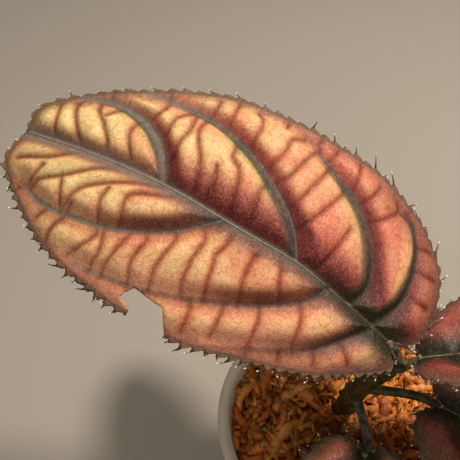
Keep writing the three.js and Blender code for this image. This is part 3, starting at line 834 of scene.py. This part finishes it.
def cup_finish():
    """Frosted translucent plastic with faint scuffs, and an amber tint towards the top painted as the moss
    showing through the wall.
    """
    f = Finish("frosted cup")
    scuff = f.noise(5 * MM, 5, 0.65)
    f.colour = f.mix(f.eased(scuff, 0.4, 0.7), rgb(250, 236, 212), rgb(244, 228, 202))
    # Painted show-through: a mottled amber tint near the top, standing in for the moss seen through the wall
    moss_show_through = f.eased(f.noise(3.5 * MM, 4, 0.6), 0.35, 0.65, 0.2, 0.42)
    f.lay(rgb(204, 152, 100), f.near(f.height(), 52 * MM, 63 * MM), moss_show_through)
    normal = f.bump(f.noise(0.9 * MM, 2), 0.12, 0.1 * MM)
    return f.done(base_color=f.colour, roughness=f.eased(scuff, 0.3, 0.7, 0.32, 0.42), normal=normal,
                  transmission_weight=0.4, ior=1.3, coat_weight=0.3, coat_roughness=0.3)


def floor_finish(colour):
    """Plain pale floor."""
    return Finish("plain floor").done(base_color=tuple(colour), roughness=0.75, specular_ior_level=0.2)


# Pieces

def make_blade(leaf, settings, finishes):
    """The blade: a grid laid on the leaf's form, given its thickness."""
    scale = leaf["midrib"][-1][1] / MAIN_LEAF["midrib"][-1][1]
    fineness = 1.0 if leaf is MAIN_LEAF else 0.62 * scale
    deselect()
    bpy.ops.mesh.primitive_grid_add(
        x_subdivisions=2 * int(settings.blade_rows * fineness / 2),
        y_subdivisions=int(settings.blade_columns * fineness), size=2)
    piece = bpy.context.object
    piece.name = leaf["name"] + "_blade"
    mesh = piece.data
    mesh.name = piece.name
    grid = np.empty(len(mesh.vertices) * 3)
    mesh.vertices.foreach_get("co", grid)
    across, along = grid.reshape(-1, 3)[:, 0], (grid.reshape(-1, 3)[:, 1] + 1) / 2
    root = places(leaf["midrib"], np.maximum(0.4 * along + 0.6 * along ** 2 - 0.02 * (1 - along), 0))
    edges = []
    for side in (1, -1):
        plain, teeth, outward, _ = margin(leaf, side, along)
        edges.append(plain + outward * teeth)
    edge = np.where((across > 0)[:, None], *edges)
    flat = root + (edge - root) * (np.abs(across) ** 1.12)[:, None]
    corners = np.empty(len(mesh.polygons) * 4, dtype=np.int32)
    mesh.polygons.foreach_get("vertices", corners)
    corners = corners.reshape(-1, 4)
    eaten = inside(flat[corners].mean(axis=1), leaf["bite"])
    torn = np.intersect1d(corners[eaten], corners[~eaten])
    if len(torn):
        flat[torn] = nearest(flat[torn], [np.array(leaf["bite"], dtype=float)])[1]
    height, fields = blade_fields(leaf, flat, across > 0)
    fields["right"] = smooth(across, -0.02, 0.02)
    mesh.vertices.foreach_set("co", settled(leaf, flat, height).ravel())
    store(mesh, fields)
    set_mode("EDIT")
    bpy.ops.mesh.select_mode(type="FACE")
    bpy.ops.mesh.select_all(action="DESELECT")
    set_mode("OBJECT")
    mesh.polygons.foreach_set("select", eaten)
    set_mode("EDIT")
    bpy.ops.mesh.delete(type="FACE")
    bpy.ops.mesh.select_mode(type="VERT")
    bpy.ops.mesh.select_all(action="SELECT")
    bpy.ops.mesh.remove_doubles(threshold=0.000002)
    set_mode("OBJECT")
    for finish in (leaf["finish"], "underside"):
        mesh.materials.append(finishes[finish])
    wall = piece.modifiers.new("thickness", "SOLIDIFY")
    wall.thickness = settings.blade_thickness
    wall.offset = -1
    wall.material_offset = 1
    bpy.ops.object.modifier_apply(modifier=wall.name)
    bpy.ops.object.shade_smooth()
    settle(piece, "leaf_copper", leaf["name"])


def make_petiole(leaf, finishes):
    """The petiole, which runs on under the blade as its rib."""
    shares = np.linspace(0, 0.97, 26)
    radii = np.interp(shares, [0, 0.97], [leaf["petiole"] * 0.85, 0.3])
    flat = places(leaf["midrib"], shares)
    rib = np.vstack([settled(leaf, flat[i:i + 1], -0.5 - 0.55 * radii[i]) for i in range(len(flat))])
    attach = np.array(leaf["attach"]) * MM
    ahead = (rib[1] - rib[0]) / np.linalg.norm(rib[1] - rib[0])
    elbow = rib[0] - ahead * 0.35 * np.linalg.norm(attach - rib[0])
    approach = places([attach, elbow, rib[0]], np.linspace(0, 1, 14))
    route = np.vstack([approach[:-1], rib])
    swell = leaf["petiole"] * (1 + 0.35 * np.exp(-np.linspace(0, 5, len(approach) - 1)))
    widths = np.concatenate([swell, radii]) * MM
    piece = tubes(leaf["name"] + "_petiole", [route], [widths], PETIOLE_SIDES)
    piece.data.materials.append(finishes[leaf["petiole_finish"]])
    settle(piece, "stem_bark")


def make_bristles(leaf, settings, finishes, rng):
    """Hooked bristles with glands: one at each tooth of the margin, and some between."""
    routes, radii = [], []
    thick = np.array(BRISTLE_RADII) * MM
    steps = np.array(BRISTLE_PLACES)
    for side in (1, -1):
        at_teeth = (np.arange(leaf["teeth"]) + TOOTH_PEAK) / leaf["teeth"]
        between = np.sort(rng.uniform(0.02, 0.99, BETWEEN_TEETH * leaf["teeth"]))
        shares = np.concatenate([at_teeth, between])
        thorny = 1 + 0.35 * (side > 0) * (np.arange(leaf["teeth"]) % 2)
        sizes = np.concatenate([thorny, rng.uniform(*BETWEEN_SIZES, len(between))])
        if side > 0:
            sizes = sizes * np.interp(shares, (0.45, 0.65), (1, 0.6))
        whole = ~inside(margin(leaf, side, shares)[0], leaf["bite"])
        shares, sizes = shares[whole], sizes[whole]
        plain, teeth, outward, ahead = margin(leaf, side, shares)
        flat = plain + outward * teeth
        for point, out, forward, size in zip(flat, outward, ahead, sizes):
            length = settings.bristle_length / MM * size * rng.uniform(0.6, 1.15)
            lean = rng.uniform(-0.2, 1.3)
            hook = rng.uniform(-0.3, 0.8) + 0.6 * (size > 1)
            path = (point - 0.4 * out + np.outer(steps * length * 0.8, out)
                    + np.outer(steps ** 2 * length * lean, forward))
            lift = -0.3 + hook * steps ** 2 * length - 0.5 * steps
            routes.append(settled(leaf, path, lift))
            radii.append(thick * (0.55 + 0.45 * size) * rng.uniform(0.8, 1.1))
    piece = tubes(leaf["name"] + "_bristles", routes, radii, BRISTLE_SIDES)
    piece.data.materials.append(finishes["bristle"])
    settle(piece, "leaf_copper")


def inner_radius(height):
    """Inside radius of the cup at a height."""
    return POT_BASE_RADIUS - WALL + (POT_TOP_RADIUS - POT_BASE_RADIUS) * height / POT_HEIGHT


def moss_height(x, y):
    """Level of the lumpy moss at a place, in millimetres."""
    share = np.hypot(x, y) / inner_radius(MOSS_LEVEL)
    lumps = np.sin(x / 3.1 + 1) * np.cos(y / 2.7) + np.sin((x - y) / 4.3)
    return MOSS_LEVEL + MOSS_MOUND * (1 - share ** 2) + 0.9 * lumps * smooth(1 - share, 0, 0.12)


def make_strands(settings, rng):
    """Curled strands of long-fibred moss lying over the bed: routes, radii and tones."""
    routes, radii, tones = [], [], []
    reach = inner_radius(MOSS_LEVEL) - MOSS_GAP
    shares = np.linspace(0, 1, STRAND_PLACES)
    for _ in range(settings.strands):
        radius = reach * math.sqrt(rng.uniform(0, 1))
        angle = rng.uniform(0, 2 * math.pi)
        heading = rng.uniform(0, 2 * math.pi)
        length = rng.uniform(6, 18)
        width = 0.4 + 1.6 * rng.uniform(0, 1) ** 1.6
        curl = rng.normal(0, 0.14)
        depth = rng.uniform(-3.2, 0.3)
        x, y = radius * math.cos(angle), radius * math.sin(angle)
        path = []
        for share in shares:
            past = np.hypot(x, y) / reach
            if past > 1:
                x, y = x / past, y / past
            arch = 1.4 * math.sin(math.pi * share)
            path.append((x, y, float(moss_height(x, y)) + depth + arch))
            heading += curl + rng.normal(0, 0.24)
            x += math.cos(heading) * length / STRAND_PLACES
            y += math.sin(heading) * length / STRAND_PLACES
        beads = 1 + 0.3 * np.sin(shares * rng.uniform(14, 30) + angle)
        taper = np.sin(math.pi * (0.08 + 0.84 * shares)) ** 0.55
        routes.append(places(path, shares) * MM)
        radii.append(width * taper * beads * MM)
        # Random tone, made darker for deeper strands as painted shade in the hollows
        tones.append(float(np.clip(rng.normal(0.6, 0.2) + 0.12 * depth, 0, 1)))
    return routes, radii, tones


def make_leaflets(settings, routes, tones, rng):
    """Small cupped leaflets along the moss strands, each a closed scale of eight faces."""
    corners, tone_of = [], []
    for route, tone in zip(routes, tones):
        for _ in range(settings.leaflets):
            place = rng.uniform(0, len(route) - 1.001)
            start = int(place)
            root = route[start] + (route[start + 1] - route[start]) * (place - start)
            along = route[start + 1] - route[start] + rng.normal(0, 1.0 * MM, 3) * (1, 1, 0.3)
            along /= np.linalg.norm(along)
            side = np.cross(along, rng.normal(0, 0.5, 3) + (0, 0, 1))
            side /= np.linalg.norm(side)
            face = np.cross(along, side)
            length = rng.uniform(3, 8) * MM
            width = length * rng.uniform(0.2, 0.4)
            middle = root + along * length * 0.45 + face * length * 0.16
            corners.append([root, root + along * length - face * length * 0.1, middle + side * width,
                            middle - side * width, middle + face * 0.13 * MM, middle - face * 0.1 * MM])
            tone_of.extend([float(np.clip(tone + rng.normal(0, 0.18), 0, 1))] * 6)
    corners = np.array(corners).reshape(-1, 3)
    limit = inner_radius(MOSS_LEVEL) * MM - 0.3 * MM
    past = np.maximum(np.hypot(corners[:, 0], corners[:, 1]) / limit, 1)
    corners[:, :2] /= past[:, None]
    scale = [(0, 2, 4), (0, 4, 3), (0, 3, 5), (0, 5, 2), (1, 4, 2), (1, 3, 4), (1, 5, 3), (1, 2, 5)]
    faces = [tuple(6 * i + k for k in face) for i in range(len(corners) // 6) for face in scale]
    piece = new_piece("moss_leaflets", corners.tolist(), [], faces)
    store(piece.data, {"tone": tone_of})
    smooth_outwards(piece)
    return piece


class ARDISIA_OT_leaves(bpy.types.Operator):
    """Build every leaf with its blade, petiole and bristles"""

    bl_idname = "ardisia.leaves"
    bl_label = "Leaves"

    def execute(self, context):
        settings = context.scene.ardisia
        rng = np.random.default_rng(11)
        tip, base = tuple(settings.crest_tip), tuple(settings.crest_base)
        finishes = {
            "leaf copper": leaf_finish("leaf copper", tip, base),
            "leaf wine": leaf_finish("leaf wine", rgb(170, 90, 74), rgb(142, 46, 54), green_share=0.08,
                                     rib_share=0.8, dark_reach=0.6, glow=0.15),
            "leaf bronze": leaf_finish("leaf bronze", rgb(204, 148, 98), rgb(170, 92, 66), wine_share=0.9,
                                       green_share=0.3, rib_share=0.6, dark_reach=0.8, glow=0.8),
            "underside": underside_finish(),
            "bristle": bristle_finish(),
            "lilac": stalk_finish("lilac petiole", rgb(58, 50, 28), rgb(132, 112, 104)),
            "olive": stalk_finish("olive petiole", rgb(56, 46, 10), rgb(100, 84, 34)),
        }
        for leaf in [MAIN_LEAF, *map(full_leaf, OTHER_LEAVES)]:
            make_blade(leaf, settings, finishes)
            make_petiole(leaf, finishes)
            make_bristles(leaf, settings, finishes, rng)
        return {"FINISHED"}


class ARDISIA_OT_stem(bpy.types.Operator):
    """Build the stem with its leaf rings and growing tip"""

    bl_idname = "ardisia.stem"
    bl_label = "Stem"

    def execute(self, context):
        shares = np.linspace(0, 1, 90)
        route = places(STEM_ROUTE, shares) * MM
        widths = np.interp(shares, np.linspace(0, 1, len(STEM_RADII)), STEM_RADII)
        for place in LEAF_RINGS:
            widths = widths + 0.35 * np.exp(-((shares - place) / 0.012) ** 2)
        piece = tubes("stem_stalk", [route], [widths * MM], STEM_SIDES)
        piece.data.materials.append(stalk_finish("stem bark", rgb(56, 46, 10), rgb(104, 84, 36)))
        settle(piece, "stem_bark", "stem")
        return {"FINISHED"}


class ARDISIA_OT_moss(bpy.types.Operator):
    """Build the moss: a dark bed and the strands that lie on it"""

    bl_idname = "ardisia.moss"
    bl_label = "Moss"

    def execute(self, context):
        floor = FLOOR + MOSS_GAP / 2
        brim = inner_radius(MOSS_LEVEL) - MOSS_GAP
        profile = [(0, floor), (inner_radius(floor) - MOSS_GAP, floor), (brim, MOSS_LEVEL)]
        profile += [(brim * (1 - i / BED_RINGS), MOSS_LEVEL) for i in range(1, BED_RINGS + 1)]
        bed = turned("moss_bed", profile, BED_STEPS)
        for vertex in bed.data.vertices:
            if vertex.co.z > (MOSS_LEVEL - 0.01) * MM:
                x, y = vertex.co.x / MM, vertex.co.y / MM
                vertex.co.z = (float(moss_height(x, y)) - BED_SINK) * MM
        bed.data.materials.append(bed_finish())
        settle(bed, "sphagnum", "moss")
        settings = context.scene.ardisia
        rng = np.random.default_rng(5)
        finish = moss_finish()
        routes, radii, tones = make_strands(settings, rng)
        strands = tubes("moss_strands", routes, radii, STRAND_SIDES, {"tone": tones})
        leaflets = make_leaflets(settings, routes, tones, rng)
        for piece in (strands, leaflets):
            piece.data.materials.append(finish)
            settle(piece, "sphagnum")
        return {"FINISHED"}


class ARDISIA_OT_cup(bpy.types.Operator):
    """Build the frosted cup with its rolled lip and drain holes"""

    bl_idname = "ardisia.cup"
    bl_label = "Cup"

    def execute(self, context):
        low = POT_HEIGHT - LIP_DEPTH
        outer = inner_radius(low) + WALL
        lip = POT_TOP_RADIUS + LIP_WIDTH
        curl = [(lip - 1.6 + 1.6 * math.cos(a), POT_HEIGHT - 1.6 + 1.6 * math.sin(a))
                for a in np.linspace(-0.9, math.pi / 2, 9)]
        profile = [(0, 0), (POT_BASE_RADIUS - 1.2, 0), (POT_BASE_RADIUS - 0.4, 0.25),
                   (inner_radius(1) + WALL, 1), (inner_radius(30) + WALL, 30),
                   (outer - 0.1, low - 0.5), (outer + 0.3, low), (lip - 1.2, low + 0.2),
                   *curl, (inner_radius(POT_HEIGHT) + 0.8, POT_HEIGHT),
                   (inner_radius(POT_HEIGHT) + 0.2, POT_HEIGHT - 0.25),
                   (inner_radius(POT_HEIGHT - 0.9), POT_HEIGHT - 0.9),
                   (inner_radius(30), 30), (inner_radius(FLOOR + 1), FLOOR + 1),
                   (inner_radius(FLOOR) - 1, FLOOR), (0, FLOOR)]
        cup = turned("frosted_cup", profile, CUP_STEPS)
        for i in range(DRAINS):
            angle = 2 * math.pi * i / DRAINS
            deselect()
            bpy.ops.mesh.primitive_cylinder_add(
                vertices=32, radius=DRAIN_RADIUS * MM, depth=10 * MM,
                location=(DRAIN_CIRCLE * MM * math.cos(angle), DRAIN_CIRCLE * MM * math.sin(angle), 0))
            drill = bpy.context.object
            bpy.context.view_layer.objects.active = cup
            cut = cup.modifiers.new("drain", "BOOLEAN")
            cut.operation = "DIFFERENCE"
            cut.object = drill
            bpy.ops.object.modifier_apply(modifier=cut.name)
            bpy.data.objects.remove(drill)
        cup.data.materials.append(cup_finish())
        settle(cup, "frosted_plastic", "pot")
        return {"FINISHED"}


class ARDISIA_OT_stage(bpy.types.Operator):
    """Lay the floor, hang the lights and set the camera"""

    bl_idname = "ardisia.stage"
    bl_label = "Stage"

    def execute(self, context):
        settings = context.scene.ardisia
        deselect()
        bpy.ops.mesh.primitive_circle_add(vertices=96, radius=FLOOR_RADIUS, fill_type="NGON")
        floor = bpy.context.object
        floor.name = "plain_floor"
        floor.data.materials.append(floor_finish(settings.floor_colour))

        world = bpy.data.worlds.new("soft studio")
        world.use_nodes = True
        sky = world.node_tree.nodes["Background"].inputs
        sky["Color"].default_value = SKY_COLOUR
        sky["Strength"].default_value = SKY_STRENGTH
        context.scene.world = world

        for name, place, size, power, tint in LIGHTS:
            bpy.ops.object.light_add(type="AREA", location=place)
            light = bpy.context.object
            light.name = name
            light.data.shape = "DISK"
            light.data.size = size
            light.data.energy = settings.key_power if power is None else power
            light.data.color = tint
            aim = np.array(LIT_PLACE) - np.array(place)
            yaw = math.atan2(aim[1], aim[0]) - math.pi / 2
            pitch = math.atan2(math.hypot(aim[0], aim[1]), -aim[2])
            light.rotation_euler = (pitch, 0, yaw)

        bpy.ops.object.camera_add(location=CAMERA_PLACE, rotation=(CAMERA_TILT, 0, 0))
        camera = bpy.context.object
        camera.data.lens = CAMERA_LENS
        camera.data.sensor_width = CAMERA_SENSOR
        camera.data.clip_start = CAMERA_NEAR
        context.scene.camera = camera
        context.scene.view_settings.view_transform = "Standard"
        return {"FINISHED"}


class ARDISIA_PT_panel(bpy.types.Panel):
    """Lists the steps in the sidebar"""

    bl_label = "Potted Ardisia"
    bl_idname = "ARDISIA_PT_panel"
    bl_space_type = "VIEW_3D"
    bl_region_type = "UI"
    bl_category = "Ardisia"

    def draw(self, context):
        settings = context.scene.ardisia
        for name in ("crest_tip", "crest_base", "floor_colour", "key_power", "strands", "leaflets",
                     "bristle_length", "blade_thickness", "blade_columns", "blade_rows"):
            self.layout.prop(settings, name)
        for step in STEPS:
            self.layout.operator(step.bl_idname)


STEPS = (ARDISIA_OT_stage, ARDISIA_OT_cup, ARDISIA_OT_moss, ARDISIA_OT_stem, ARDISIA_OT_leaves)
CLASSES = (ArdisiaSettings, *STEPS, ARDISIA_PT_panel)


def register():
    for item in CLASSES:
        bpy.utils.register_class(item)
    bpy.types.Scene.ardisia = PointerProperty(type=ArdisiaSettings)


def unregister():
    del bpy.types.Scene.ardisia
    for item in reversed(CLASSES):
        bpy.utils.unregister_class(item)


def main():
    register()
    deselect()
    bpy.ops.ardisia.stage()
    bpy.ops.ardisia.cup()
    bpy.ops.ardisia.moss()
    bpy.ops.ardisia.stem()
    bpy.ops.ardisia.leaves()


if __name__ == "__main__":
    main()
